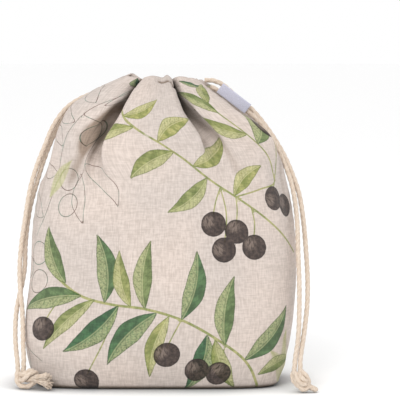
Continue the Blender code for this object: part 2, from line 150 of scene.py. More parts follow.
# Columns: cloth distance, height, reach along the cloth, reach in height, depth.
DENTS = [
    (96, 268, 9, 14, 9.0),      # hollow under the left roll, beside the centre flute
    (88, 218, 26, 32, 4.0),     # below the left valley
    (251, 272, 9, 13, 8.0),     # hollow under the right roll, beside the centre flute
    (244, 252, 12, 14, 5.0),
    (60, 170, 18, 60, 3.0),
    (243, 222, 24, 20, 5.0),    # below the right valley
    (318, 205, 14, 60, 3.0),    # down the right side
    (300, 95, 30, 60, -2.0),
    (40, 60, 26, 40, -2.5),
    (150, 60, 60, 40, -2.0),
    (225, 120, 40, 60, 2.0),
    (120, 120, 40, 70, 1.5),
    (345, 60, 20, 40, 2.0),     # right side seam above the base
    (322, 249, 14, 28, -5.0),   # front right roll, bulging past the cords
    (353, 229, 12, 28, 4.0),    # right side seam under the cords
    (8, 110, 16, 60, 2.5),      # left side seam
    (470, 195, 34, 40, 5.0),    # back
    (585, 190, 34, 44, 5.0),
    (430, 80, 50, 50, 2.5),
    (540, 70, 60, 44, -2.5),
    (640, 90, 34, 60, 2.5),
]

# Small creases of the sheet: soft troughs (positive depth) between two places, in cloth distance
# and place up the cloth. Columns: from cloth, up, to cloth, up, half-width, depth.
CREASES = [
    (176, 340, 214, 337, 2.4, 2.6),      # under the raised tip of the casing
    (214, 340, 222, 326, 2.5, 2.6),
    (62, 352, 54, 306, 4.0, 0.9),
    (40, 350, 36, 312, 3.5, 0.7),
    (284, 352, 292, 308, 4.0, 0.8),
    (304, 352, 309, 316, 3.0, 0.7),
    (95, 298, 79, 246, 9.0, 4.5),        # the left roll turning in to its valley
    (96, 262, 60, 205, 9.0, 1.6),
    (244, 262, 268, 214, 8.0, 1.2),
    (330, 300, 322, 150, 7.0, 1.2),
    (22, 250, 30, 120, 8.0, 1.0),
    (40, 40, 90, 20, 8.0, 0.8),
    (300, 60, 335, 26, 7.0, 1.0),
    (110, 150, 150, 60, 16.0, 0.7),
    (250, 160, 220, 60, 16.0, 0.7),
]

# ---- cords ----
CORD_DIAMETER = 5.0
CORD_STEP = 1.3         # from ring to ring of its mesh
CORD_SIDES = 30
PLIES = 3
PLY_GROOVE = 0.20       # depth of the grooves between plies, as a share of the radius
TWIST_LENGTH = 21.0     # of one full turn
CORD_PHASE = 1.3        # turn of the twist from one strand to the next
CORDS = {
    "cord_left_front": [
        (-54.5, -2.8, 296.8), (-61, -2.9, 295.2), (-69, -3.3, 292.3), (-79, -3.8, 288.3),
        (-90, -4, 282.3), (-98, -4.2, 275.5), (-105.5, -4.5, 266), (-112, -5, 254.5),
        (-118.3, -5.5, 239), (-126, -6, 220), (-133, -8, 196), (-138.2, -11, 165), (-142, -16, 138),
        (-143.2, -23, 115), (-142.2, -29, 95), (-140.3, -34, 78), (-139.4, -38, 61),
        (-139, -43, 44), (-138, -48.7, 30.5), (-138, -51, 21.1),
    ],
    "cord_left_back": [
        (-54.2, 3.5, 294.6), (-61, 3.4, 292.7), (-69, 2.9, 290), (-78, 2.8, 285.5),
        (-88, 2.6, 278.5), (-96.5, 2.4, 270.5), (-104.2, 2, 260), (-111.6, 1.6, 245),
        (-118.8, 1.2, 227), (-127, 0, 201), (-133.9, -2, 175), (-138, -8, 142), (-138.6, -14, 118),
        (-140.8, -20, 102), (-143.8, -25, 88), (-146.4, -30, 73), (-147.2, -36, 53),
        (-145.9, -43, 36), (-144.6, -48.3, 27.5), (-143.9, -50.9, 20.1),
    ],
    "cord_right_back": [
        (42.6, 6, 304.7), (51, 5.9, 304.5), (60, 5.5, 301), (70.5, 4.4, 292.4), (81.5, 3.9, 282.9),
        (91.5, 3.4, 274.4), (104.2, 2.8, 259), (114.8, 1.4, 243.5), (124.2, -0.6, 227),
        (132.6, -3, 207), (138.2, -5, 190), (142.2, -10, 165), (144.6, -20, 136), (146, -31, 107),
        (145.2, -43, 82), (141.6, -57, 55), (137.6, -71.5, 32), (137.3, -77.2, 21.7),
    ],
    "cord_right_front": [
        (48.6, 1.2, 299), (55.4, 1.1, 295.2), (62.4, 0.8, 290.4), (72.2, -0.3, 283.2),
        (85.6, -1.6, 274), (98.4, -3, 262.9), (107.8, -4.2, 250.5), (116, -5, 237.4),
        (123.4, -6, 221), (129.9, -8.5, 203), (133.4, -14, 186), (135.6, -25, 163),
        (136.4, -37, 130), (137.2, -45, 105), (137, -54, 80), (135.8, -63, 53), (132.4, -72.5, 31),
        (131.3, -77.1, 20.5),
    ],
}


# ================= curves through rows =================
def smooth_rows(keys, rows, at, period=None):
    """Read a smooth curve through `rows`, one at each of `keys`, at the places `at`."""
    keys = np.asarray(keys, float)
    rows = np.asarray(rows, float)
    if period:
        keys = np.concatenate([keys[-2:] - period, keys, keys[:2] + period])
        rows = np.concatenate([rows[-2:], rows, rows[:2]])
    slopes = np.empty_like(rows)
    slopes[1:-1] = (rows[2:] - rows[:-2]) / (keys[2:] - keys[:-2])[:, None]
    slopes[0] = (rows[1] - rows[0]) / (keys[1] - keys[0])
    slopes[-1] = (rows[-1] - rows[-2]) / (keys[-1] - keys[-2])
    at = np.asarray(at, float)
    i = np.clip(np.searchsorted(keys, at, side="right") - 1, 0, len(keys) - 2)
    span = (keys[i + 1] - keys[i])[:, None]
    f = (at - keys[i])[:, None] / span
    return ((1 + 2 * f) * (1 - f) ** 2 * rows[i] + f * (1 - f) ** 2 * span * slopes[i]
            + f * f * (3 - 2 * f) * rows[i + 1] + f * f * (f - 1) * span * slopes[i + 1])


def chord_keys(points):
    """Distance along straight runs between points, from 0."""
    steps = np.linalg.norm(np.diff(np.asarray(points, float), axis=0), axis=1)
    return np.concatenate([[0], np.cumsum(steps)])


def unit(vectors):
    return vectors / np.linalg.norm(vectors, axis=-1, keepdims=True)


def smooth_step(value):
    value = np.clip(value, 0, 1)
    return value * value * (3 - 2 * value)


# ================= the bag's surface =================
def outline_rows():
    """The cloth length up to each row of the outline, and the rows, the base rounding first."""
    height, left, right, front, back, square = PROFILE[0]
    rows = []
    for degrees in (0, 30, 60):
        angle = math.radians(degrees)
        inset = BASE_ROUNDING * (1 - math.sin(angle))
        rows.append((height - BASE_ROUNDING * math.cos(angle), left - inset, right - inset,
                     front - inset, back - inset, square))
    rows = np.array(rows + PROFILE, float)
    return chord_keys(rows[:, :2]), rows


def plain_section(row, cloth):
    """Plan points of one row's smooth section at the distances `cloth` around it."""
    _, left, right, front, back, square = row
    angle = np.linspace(0, 2 * math.pi, 2 * SECTION_STEPS + 1)
    x, y = (-np.sign(v) * np.abs(v) ** (2 / square) for v in (np.cos(angle), np.sin(angle)))
    x = x * np.where(x < 0, left, right)
    y = y * np.where(y < 0, front, back)
    length = chord_keys(np.column_stack([x, y]))
    half = length[SECTION_STEPS]
    around = np.where(length <= half, length / half, 1 + (length - half) / (length[-1] - half))
    around = around * PANEL_CLOTH
    cloth = np.mod(cloth, 2 * PANEL_CLOTH)
    return np.interp(cloth, around, x), np.interp(cloth, around, y)


def folded_points(cloth, up):
    """The folded cloth before its dents, at each place `up` (rows) and cloth distance (columns)."""
    keys, rows = outline_rows()
    rows = smooth_rows(keys, rows, up)
    gathers = np.array(GATHERS)
    gathers = smooth_rows(gathers[:, 0], gathers[:, 1:], cloth, 2 * PANEL_CLOTH)
    gather_x, gather_y, lean, foot, rise = gathers.T
    points = np.empty((len(up), len(cloth), 3))
    for i, row in enumerate(rows):
        height, left, right, front, back, _ = row
        x, y = plain_section(row, cloth)
        share = smooth_step((height - foot) / (FOLD_FULL_HEIGHT - foot))
        fold_x = (gather_x + 4 * lean * (1 - share)) * np.where(gather_x < 0, left, right)
        fold_y = gather_y * np.where(gather_y < 0, front, back)
        points[i, :, 0] = x + share * (fold_x - x)
        points[i, :, 1] = y + share * (fold_y - y)
        edge_share = smooth_step((height - EDGE_RISE_FROM) / (MOUTH_HEIGHT - EDGE_RISE_FROM))
        points[i, :, 2] = height + rise * edge_share
    return points


def dent_depth(cloth, height):
    """How far the cloth is pushed in, for the height of each point (rows by columns)."""
    depth = np.zeros(height.shape)
    for at_cloth, at_height, cloth_reach, height_reach, amount in DENTS:
        away = np.abs(np.mod(cloth, 2 * PANEL_CLOTH) - at_cloth)
        away = np.minimum(away, 2 * PANEL_CLOTH - away) / cloth_reach
        over = (height - at_height) / height_reach
        depth += amount * np.exp(-(away ** 2 + over ** 2))
    return depth * smooth_step((height - BASE_ROUNDING) / 20)


def folded_normals(cloth, up):
    """Outward unit normals of the folded cloth."""
    around = folded_points(cloth + NORMAL_STEP, up) - folded_points(cloth - NORMAL_STEP, up)
    upward = folded_points(cloth, up + NORMAL_STEP) - folded_points(cloth, up - NORMAL_STEP)
    return unit(np.cross(around, upward))


def cloth_length():
    """Length of a panel from the base's edge up to the mouth."""
    return outline_rows()[0][-1]


def trough(off, half_width):
    """A soft trough's share of its depth, by the distance from its middle."""
    return np.exp(-(off / half_width) ** 2)


def crease_depth(cloth, up):
    """Depth of the soft creases alone (rows by columns)."""
    across, along = np.meshgrid(cloth, up)
    depth = np.zeros(across.shape)
    for cloth_a, up_a, cloth_b, up_b, half_width, amount in CREASES:
        run = np.array([cloth_b - cloth_a, up_b - up_a], float)
        length = np.linalg.norm(run)
        run /= length
        share = ((across - cloth_a) * run[0] + (along - up_a) * run[1]) / length
        off = (across - cloth_a) * run[1] - (along - up_a) * run[0]
        off += 0.12 * half_width * np.sin(share * 7 + cloth_a)
        ends = smooth_step((share + 0.15) / 0.3) * smooth_step((1.15 - share) / 0.45)
        depth += amount * ends * trough(off, half_width)
    return depth


def small_relief(cloth, up):
    """Depth of seams, casing and small creases below the smooth surface (rows by columns)."""
    across, along = np.meshgrid(cloth, up)
    edge = cloth_length()
    from_seam = np.abs((across + PANEL_CLOTH / 2) % PANEL_CLOTH - PANEL_CLOTH / 2)
    ripple = np.sin(along / 2.1 + 1.5 * np.sin(along / 17))
    depth = trough(from_seam, 1.6) + 0.30 * ripple * trough(from_seam, 7)
    depth += 0.5 * trough(along - BASE_SEAM, 1.7)
    from_stitch = along - (edge - CASING_DEPTH)
    pucker = np.sin(across / 1.75 + 2.0 * np.sin(across / 13)) * (0.7 + 0.3 * np.sin(across / 29))
    depth += 0.55 * trough(from_stitch, 1.3) + 0.38 * pucker * trough(from_stitch, 9)
    depth += crease_depth(cloth, up)
    waves = np.sin(across / 17 + along / 41) + np.sin(across / 11 - along / 23 + 2) * 0.6
    depth += 0.35 * smooth_step((along - 12) / 30) * waves
    return depth * smooth_step((along - 3) / 8)


def sheet_points(cloth, up):
    """Outer surface of the linen, with its dents and small relief."""
    points = folded_points(cloth, up)
    depth = dent_depth(cloth, points[:, :, 2]) + small_relief(cloth, up)
    return points - folded_normals(cloth, up) * depth[:, :, None]


def grid_normals(points):
    """Outward unit normals of a fine grid of points."""
    return unit(np.cross(np.gradient(points, axis=1), np.gradient(points, axis=0)))


# ================= the print's shapes =================
# Places are on the panel's cloth: distance from its left seam, and up it, in mm.
# Leaves: stem end, tip, bend to the side, half-width, tone (0 deep green to 1 yellow-green).
LEAVES = [
    ((260, 36), (304, 88), -6, 10.0, 0.12),
    ((240, 51), (248, 120), 6, 9.5, 0.25),
    ((222, 62), (204, 3), 6, 10.5, 0.00),
    ((196, 77), (210, 146), -6, 10.0, 0.10),
    ((172, 84), (126, 32), -6, 11.0, 0.05),
    ((160, 88), (164, 156), 6, 9.0, 0.40),
    ((134, 91), (82, 44), 6, 10.5, 0.00),
    ((120, 94), (108, 162), -6, 10.5, 0.15),
    ((96, 100), (30, 82), -6, 10.0, 0.20),
    ((78, 112), (50, 168), 6, 9.5, 0.30),
    ((97, 330), (85, 350), 3, 5.5, 0.00),
    ((134, 284), (178, 306), -5, 8.0, 1.00),
    ((150, 271), (102, 252), -4, 8.0, 0.85),
    ((172, 256), (220, 280), 5, 8.5, 1.00),
    ((188, 245), (140, 218), -5, 8.5, 0.75),
    ((208, 231), (250, 258), -5, 8.5, 0.90),
    ((224, 219), (180, 184), 5, 8.5, 0.65),
    ((252, 200), (290, 230), 5, 8.0, 0.95),
    ((292, 262), (248, 286), 5, 9.0, 0.80),
    ((285, 286), (244, 318), -5, 8.5, 0.55),
    ((296, 252), (326, 296), -5, 8.5, 0.35),
    ((282, 300), (304, 336), 5, 8.0, 0.70),
    ((296, 330), (258, 341), 3, 5.0, 0.05),
]
# Leaves that lie over the others.
OVER_LEAVES = [
    ((230, 57), (256, 6), -5, 8.0, 0.70),
    ((184, 81), (168, 18), -5, 8.0, 0.85),
    ((146, 90), (132, 146), 5, 7.5, 0.80),
    ((110, 97), (62, 46), -4, 7.5, 0.65),
    ((276, 20), (322, 34), 5, 7.0, 0.55),
]
# Faint leaves, as if washed out, without a tone.
GHOST_LEAVES = [
    ((320, 4), (306, 66), 4, 7.5),
    ((326, 4), (334, 80), -3, 7.5),
    ((314, 4), (284, 46), -4, 7.0),
    ((44, 196), (70, 236), 4, 7.0),
]
# Berries: centre, half-sizes along and across, turn in degrees.
BERRIES = [
    ((228, 172), (13.0, 12.5), 20),
    ((252, 164), (12.5, 12.0), -20),
    ((238, 146), (12.5, 12.5), 40),
    ((270, 148), (13.0, 12.5), 0),
    ((300, 196), (12.5, 12.0), 60),
    ((320, 188), (12.0, 12.0), 10),
    ((184, 42), (13.0, 12.5), 20),
    ((236, 22), (12.5, 12.0), -30),
    ((214, 26), (12.0, 12.0), 10),
    ((60, 66), (12.5, 12.0), 0),
    ((104, 14), (13.0, 12.5), 45),
    ((322, 268), (12.0, 12.0), 30),
]
# Stems: half-width and the points they pass through.
STEMS = [
    (1.2, [(282, 4), (260, 36), (232, 57), (196, 77), (160, 88), (128, 92), (96, 100), (66, 118)]),
    (1.0, [(118, 300), (134, 284), (160, 264), (192, 242), (224, 219), (254, 199), (286, 176),
           (326, 140)]),
    (0.9, [(308, 214), (304, 234), (292, 262), (284, 288), (280, 314)]),
    (0.7, [(254, 199), (284, 206), (308, 214), (322, 268)]),
    (0.6, [(196, 77), (190, 64), (184, 50)]),
    (0.6, [(240, 50), (238, 40), (236, 30)]),
    (0.6, [(232, 57), (224, 44), (216, 34)]),
    (0.6, [(88, 104), (72, 92), (62, 74)]),
    (0.6, [(134, 91), (122, 54), (106, 22)]),
    (0.6, [(238, 209), (232, 196), (228, 182)]),
    (0.6, [(254, 199), (254, 186), (252, 172)]),
    (0.6, [(238, 209), (242, 182), (239, 154)]),
    (0.6, [(270, 188), (272, 172), (270, 158)]),
    (0.6, [(308, 214), (304, 208), (301, 203)]),
]
# Pencil outlines of the same shapes, drawn but not painted.
DRAWN_LEAVES = [
    ((72, 300), (50, 336), 5, 7.5),
    ((80, 296), (100, 334), -5, 7.0),
    ((64, 276), (26, 300), 5, 7.5),
    ((56, 250), (20, 268), -5, 7.0),
    ((50, 222), (16, 232), 4, 7.0),
    ((92, 232), (128, 190), 6, 8.5),
    ((82, 222), (92, 172), -5, 7.5),
    ((40, 176), (14, 200), 4, 6.5),
    ((28, 60), (16, 96), 4, 6.5),
    ((36, 50), (24, 14), 4, 6.5),
]
DRAWN_BERRIES = [
    ((86, 262), (12.5, 11.5), 20),
    ((66, 216), (12.0, 11.0), 0),
    ((70, 190), (12.0, 11.5), 35),
    ((40, 140), (12.5, 11.5), 0),
    ((20, 124), (11.5, 11.0), 0),
    ((44, 112), (12.0, 11.5), 20),
]
DRAWN_STEMS = [
    [(92, 318), (76, 298), (60, 262), (52, 226), (42, 176), (34, 158)],
    [(70, 284), (94, 266), (92, 234), (78, 214)],
    [(58, 34), (36, 50), (24, 76)],
]
# Half-widths of the pencil's lines.
LEAF_LINE = 0.30
BERRY_LINE = 0.34
STEM_LINE = 0.26
FAR = 40.0      # a distance that is off every shape


def leaf_shape(points, stem_end, tip, bend, half_width):
    """Signed distance to a leaf's edge, place across it (-1 to 1) and along it (0 to 1)."""
    stem_end, run = np.array(stem_end, float), np.subtract(tip, stem_end)
    length = np.linalg.norm(run)
    run = run / length
    share = (points - stem_end) @ run / length
    inside = np.clip(share, 0, 1)
    across = (points - stem_end) @ np.array([-run[1], run[0]]) - bend * 4 * inside * (1 - inside)
    half = half_width * np.sin(np.pi * inside ** 0.88) ** 1.1 + 0.5
    half = half * (1 + 0.03 * np.sin(inside * 17 + tip[0]))
    beyond = np.maximum(np.maximum(-share, share - 1), 0) * length
    outside = np.hypot(np.maximum(np.abs(across) - half, 0), beyond)
    distance = np.where((np.abs(across) < half) & (beyond == 0), np.abs(across) - half, outside)
    return distance, across / half_width, share


def berry_shape(points, centre, half_sizes, turn):
    """Signed distance to a berry's edge and its place in it, -1 to 1 both ways."""
    cos, sin = math.cos(math.radians(turn)), math.sin(math.radians(turn))
    away = points - np.array(centre, float)
    x = (away @ np.array([cos, sin])) / half_sizes[0]
    y = (away @ np.array([-sin, cos])) / half_sizes[1]
    return (np.hypot(x, y) - 1) * min(half_sizes), x, y


def line_shape(points, route):
    """Distance to a smooth line through a route, and the same signed by its side."""
    keys = chord_keys(route)
    line = smooth_rows(keys, route, np.linspace(0, keys[-1], 8 * len(route)))
    best = np.full(len(points), FAR)
    side = np.full(len(points), FAR)
    for start, end in zip(line, line[1:]):
        run = end - start
        away = points - start
        share = np.clip(away @ run / (run @ run), 0, 1)
        distance = np.linalg.norm(away - share[:, None] * run, axis=1)
        nearer = distance < best
        turn = run[0] * away[:, 1] - run[1] * away[:, 0]
        best = np.where(nearer, distance, best)
        side = np.where(nearer, np.where(turn < 0, -distance, distance), side)
    return best, side


def outline(shape, half_width):
    """A shape's edge as a line."""
    return np.abs(shape[0]), shape[0], half_width


def nearest(points, shapes):
    """At each point what the nearest shape gives: its distance, then its other values."""
    values = np.tile([FAR, 0.0, 0.0, 0.0], (len(points), 1))
    for shape in shapes:
        nearer = shape[0] < values[:, 0]
        for column, value in enumerate(shape):
            values[nearer, column] = np.broadcast_to(value, len(points))[nearer]
    return values


def print_values(points):
    """All the print's layers at each point of the cloth, by attribute name."""
    layers = {
        "leaf": [(*leaf_shape(points, *leaf), tone) for *leaf, tone in LEAVES],
        "over": [(*leaf_shape(points, *leaf), tone) for *leaf, tone in OVER_LEAVES],
        "ghost": [leaf_shape(points, *leaf) for leaf in GHOST_LEAVES],
        "berry": [berry_shape(points, *berry) for berry in BERRIES],
        "stem": [(*line_shape(points, route), width) for width, route in STEMS],
        "drawn_leaf": [outline(leaf_shape(points, *leaf), LEAF_LINE) for leaf in DRAWN_LEAVES],
        "drawn_berry": [outline(berry_shape(points, *berry), BERRY_LINE)
                        for berry in DRAWN_BERRIES],
        "drawn_stem": [(*line_shape(points, route), STEM_LINE) for route in DRAWN_STEMS],
    }
    layers = {name: nearest(points, shapes) for name, shapes in layers.items()}
    tones = {name + "_tone": layers[name][:, 3] for name in ("leaf", "over")}
    return {**{name: values[:, :3] for name, values in layers.items()}, **tones}


# ================= materials =================
def srgb(red, green, blue):
    """A colour given as it shows on a screen, 0 to 255, in the renderer's linear values."""
    return (*(((v / 255 + 0.055) / 1.055) ** 2.4 for v in (red, green, blue)), 1)


# A pair of colours is what a wash, or a leaf's tone, moves between.
LINEN = (srgb(213, 202, 195), srgb(223, 209, 200))
THREADS_SHADE = ((0.68, 0.664, 0.647, 1), (0.895, 0.888, 0.882, 1))
# Painted shade in the troughs of the small creases.
CREASE_SHADE = (0.52, 0.46, 0.40, 1)
HOLLOW_SHADE = (0.22, 0.18, 0.13, 1)      # what is left of the light deep in a fold
DEEP_GREEN = (srgb(16, 80, 42), srgb(52, 112, 66))
YELLOW_GREEN = (srgb(132, 142, 66), srgb(184, 182, 112))
LEAF_PALE = (srgb(176, 184, 134), srgb(212, 206, 158))
LEAF_DARK = (srgb(14, 58, 34), srgb(92, 112, 48))
GHOST = (srgb(196, 194, 150), srgb(176, 180, 118))
STEM = (srgb(134, 146, 78), srgb(172, 172, 112))
PENCIL = (srgb(104, 134, 118), srgb(112, 88, 80))
BERRY = (srgb(46, 36, 35), srgb(84, 70, 64))
BERRY_SHINE = srgb(146, 130, 120)
BERRY_RIM = srgb(34, 27, 26)
STITCH = srgb(196, 182, 168)
COTTON = (srgb(192, 172, 152), srgb(220, 206, 191))
LABEL = (srgb(181, 180, 195), srgb(204, 204, 219))
# The floor's white paper, and its painted shadow beside what stands on it.
PAPER_AND_SHADOW = ((0.36, 0.36, 0.36, 1), (0.98, 0.98, 0.98, 1))

# How much of the cloth each paint hides.
LEAF_COVER, GHOST_COVER, BERRY_COVER, LINE_COVER = 0.92, 0.75, 0.95, 0.9

HOLLOW_REACH = 20       # how near a fold's walls must be for the painted shade deep in it
BESIDE_REACH = 50       # how near an object the floor gets its painted shadow

# Slubs: fineness across a thread and along it, and share of the whole.
SLUBS = [(0.95, 0.08, 0.24), (0.6, 0.13, 0.30)]


class Value:
    """What a node gives. Arithmetic with it adds the nodes that work it out."""

    def __init__(self, graph, socket):
        self.graph = graph
        self.socket = socket

    def __add__(self, other):
        return self.graph.math("ADD", self, other)

    def __radd__(self, other):
        return self + other

    def __sub__(self, other):
        return self.graph.math("SUBTRACT", self, other)

    def __mul__(self, other):
        return self.graph.math("MULTIPLY", self, other)

    def __abs__(self):
        return self.graph.math("ABSOLUTE", self)

    def sine(self):
        return self.graph.math("SINE", self)

    def step(self, low, high):
        """0 below `low`, 1 above `high`, smooth between; turned round if `low` is the larger."""
        return self.graph.add("ShaderNodeMapRange", "Result",
                              {"Value": self, "From Min": low, "From Max": high},
                              interpolation_type="SMOOTHSTEP")


class Graph:
    """A material, with short ways to add and join its nodes."""

    def __init__(self, name, roughness, sheen):
        self.material = bpy.data.materials.new(name)
        self.material.use_nodes = True
        self.tree = self.material.node_tree
        self.shader = self.tree.nodes["Principled BSDF"]
        for key, value in {"Roughness": roughness, "Specular IOR Level": 0.2,
                           "Sheen Weight": sheen, "Sheen Roughness": 0.6}.items():
            self.shader.inputs[key].default_value = value

    def put(self, value, socket):
        if isinstance(value, Value):
            self.tree.links.new(value.socket, socket)
        else:
            socket.default_value = value

    def node(self, kind, inputs, settings):
        node = self.tree.nodes.new(kind)
        for key, value in settings.items():
            setattr(node, key, value)
        for key, value in inputs.items():
            self.put(value, node.inputs[key])
        return node

    def add(self, kind, output, inputs, **settings):
        return Value(self, self.node(kind, inputs, settings).outputs[output])

    def values(self, attribute):
        """The three numbers of a vector attribute."""
        source = self.add("ShaderNodeAttribute", "Vector", {}, attribute_name=attribute)
        parts = self.node("ShaderNodeSeparateXYZ", {0: source}, {}).outputs
        return [Value(self, part) for part in parts]

    def value(self, attribute):
        return self.add("ShaderNodeAttribute", "Fac", {}, attribute_name=attribute)

    def vector(self, x, y, z=0.0):
        return self.add("ShaderNodeCombineXYZ", 0, {0: x, 1: y, 2: z})

    def math(self, operation, first, second=0.0):
        return self.add("ShaderNodeMath", 0, {0: first, 1: second}, operation=operation)

    def noise(self, vector, scale, detail):
        return self.add("ShaderNodeTexNoise", "Fac",
                        {"Vector": vector, "Scale": scale, "Detail": detail})

    def openness(self, reach):
        """How free a place is of other surfaces within `reach`."""
        return self.add("ShaderNodeAmbientOcclusion", "AO", {"Distance": reach * MM}, samples=12)

    def mix(self, share, first, second, blend="MIX"):
        return self.add("ShaderNodeMix", 2, {0: share, 6: first, 7: second}, data_type="RGBA",
                        blend_type=blend)

    def shaded(self, colour, shade):
        return self.mix(1.0, colour, shade, "MULTIPLY")

    def finish(self, colour, relief=None, relief_depth=0.0):
        """Give the surface its colour and a fine relief, and return the material."""
        self.put(colour, self.shader.inputs["Base Color"])
        if relief:
            bump = self.add("ShaderNodeBump", "Normal",
                            {"Height": relief, "Distance": relief_depth * MM, "Strength": 1.0})
            self.put(bump, self.shader.inputs["Normal"])
        return self.material


def threads(graph, across, along):
    """How light each place of a plain weave is, from streaks along both thread directions."""
    total = 0.0
    for fine, run, share in SLUBS:
        warp = graph.noise(graph.vector(across * fine, along * run, 3.0 * fine), 1.0, 3.0)
        weft = graph.noise(graph.vector(across * run, along * fine, 7.0 + fine), 1.0, 3.0)
        total += warp * share + weft * (share * 0.85)
    return total


def paint_leaf(graph, cloth, ground, name):
    """Lays a layer of painted leaves over the ground's colour."""
    distance, across, along = graph.values(name)
    tone = graph.value(name + "_tone")
    wash = graph.noise(cloth, 0.11, 3.0)
    fine = graph.noise(cloth, 0.55, 3.0)
    deep = graph.mix(wash.step(0.38, 0.62), *DEEP_GREEN)
    light = graph.mix(wash.step(0.36, 0.66), *YELLOW_GREEN)
    pale = graph.mix(tone, *LEAF_PALE)
    dark = graph.mix(tone, *LEAF_DARK)
    lit_half = across.step(0.0, 0.25) * fine.step(0.2, 0.6)
    ribs = (along * 62.0 - abs(across) * 9.0).sine()
    near_middle = abs(across).step(0.10, 0.02)
    near_rim = distance.step(-1.3, -0.2)
    colour = graph.mix(lit_half * 0.8, graph.mix(tone, deep, light), pale)
    colour = graph.mix(ribs.step(0.55, 1.0) * 0.28, colour, dark)
    colour = graph.mix(near_middle * 0.6, colour, pale)
    colour = graph.mix(near_rim * 0.65, colour, dark)
    edge = distance + (fine - 0.5) * 0.9
    return graph.mix(edge.step(0.35, -0.35) * LEAF_COVER, ground, colour)


def paint_ghost(graph, ground):
    """Lays the washed-out leaves over the ground's colour."""
    distance, across, _ = graph.values("ghost")
    pale = graph.mix(abs(across).step(0.25, 0.0), *GHOST)
    return graph.mix(distance.step(0.8, -1.6) * GHOST_COVER, ground, pale)


def paint_berries(graph, cloth, ground):
    """Lays the berries over the ground's colour."""
    distance, x, y = graph.values("berry")
    wash = graph.noise(cloth, 0.30, 4.0)
    scratch = graph.noise(graph.vector(x * 7.0, y * 2.0), 1.0, 3.0)
    lit_x, lit_y = x + 0.32, y - 0.30
    shine = (lit_x * lit_x + lit_y * lit_y).step(0.42, 0.02) * scratch.step(0.35, 0.6)
    colour = graph.mix(shine * 0.7, graph.mix(wash.step(0.35, 0.7), *BERRY), BERRY_SHINE)
    colour = graph.mix(distance.step(-2.0, -0.4) * 0.6, colour, BERRY_RIM)
    edge = distance + (wash - 0.5) * 0.8
    return graph.mix(edge.step(0.35, -0.35) * BERRY_COVER, ground, colour)


def paint_lines(graph, cloth, ground, name, colours):
    """Lays thin lines over the ground's colour, faint here and there."""
    distance, side, half_width = graph.values(name)
    wash = graph.noise(cloth, 0.09, 2.0)
    ink = (abs(side) - half_width).step(0.30, -0.15) * distance.step(2.2, 1.4)
    ink *= wash.step(0.1, 0.42) * LINE_COVER
    return graph.mix(ink, ground, graph.mix(wash.step(0.4, 0.6), *colours))


def linen_material():
    graph = Graph("linen", roughness=0.92, sheen=0.12)
    across, along, crease = graph.values("cloth")
    cloth = graph.vector(across, along)
    colour = graph.mix(graph.noise(cloth, 0.012, 1.0).step(0.3, 0.7), *LINEN)
    for name in ("drawn_leaf", "drawn_berry", "drawn_stem"):
        colour = paint_lines(graph, cloth, colour, name, PENCIL)
    colour = paint_ghost(graph, colour)
    colour = paint_lines(graph, cloth, colour, "stem", STEM)
    for name in ("leaf", "over"):
        colour = paint_leaf(graph, cloth, colour, name)
    colour = paint_berries(graph, cloth, colour)
    stitch_line = abs(along - (cloth_length() - CASING_DEPTH)).step(0.75, 0.25)
    dash = (across * 2.3).sine().step(-0.3, 0.2)
    colour = graph.mix(stitch_line * dash * 0.35, colour, STITCH)
    slub = threads(graph, across, along)
    colour = graph.shaded(colour, graph.mix(slub.step(0.38, 0.62), *THREADS_SHADE))
    # Painted shade in the troughs of the small creases, deeper where they are deeper.
    colour = graph.mix(crease.step(0.5, 2.2), colour, graph.shaded(colour, CREASE_SHADE))
    # Painted shade deep in the folds: the colour darkens where the fold's walls close in.
    hollow = graph.shaded(colour, HOLLOW_SHADE)
    colour = graph.mix(graph.openness(HOLLOW_REACH).step(0.05, 0.55), hollow, colour)
    weave = (across * 6.2).sine() * (along * 6.2).sine()
    return graph.finish(colour, weave * 0.3 + slub, 0.25)


def cotton_material():
    graph = Graph("cotton_cord", roughness=0.88, sheen=0.15)
    along, side, other = graph.values("twist")
    fibre = graph.noise(graph.vector(along * 0.22, side * 2.0, other * 2.0), 1.0, 3.0)
    return graph.finish(graph.mix(fibre.step(0.3, 0.7), *COTTON), fibre, 0.3)


def label_material():
    graph = Graph("woven_label", roughness=0.7, sheen=0.05)
    across, along, _ = graph.values("cloth")
    fine = graph.noise(graph.vector(across * 3.0, along * 0.6), 1.0, 2.0)
    colour = graph.mix(fine.step(0.3, 0.7), *LABEL)
    return graph.finish(colour, (along * 14.0).sine() * 0.5 + fine, 0.08)


def floor_material():
    """White paper, with a painted shadow right beside what stands on it."""
    graph = Graph("floor", roughness=0.9, sheen=0.0)
    return graph.finish(graph.mix(graph.openness(BESIDE_REACH).step(0.2, 1.0), *PAPER_AND_SHADOW))


# ================= building pieces =================
def add_thing(name, data):
    thing = bpy.data.objects.new(name, data)
    bpy.context.collection.objects.link(thing)
    return thing


def add_mesh(name, vertices, faces, material):
    """An object from vertices in metres."""
    mesh = bpy.data.meshes.new(name)
    mesh.from_pydata(vertices, [], faces)
    mesh.materials.append(material)
    return add_thing(name, mesh)


def mesh_piece(name, vertices, faces, material, attributes):
    """A smooth piece from vertices in mm, riding on the bag."""
    piece = add_mesh(name, (vertices * MM).tolist(), faces, material)
    piece.data.shade_smooth()
    for key, values in attributes.items():
        kind, field = ("FLOAT", "value") if values.ndim == 1 else ("FLOAT_VECTOR", "vector")
        attribute = piece.data.attributes.new(key, kind, "POINT")
        attribute.data.foreach_set(field, values.ravel())
    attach(piece, "root")
    return piece


def grid_faces(numbers):
    """Faces of a grid, from its vertices' numbers by row and column."""
    corners = [numbers[:-1, :-1], numbers[:-1, 1:], numbers[1:, 1:], numbers[1:, :-1]]
    return np.stack(corners, axis=-1).reshape(-1, 4)


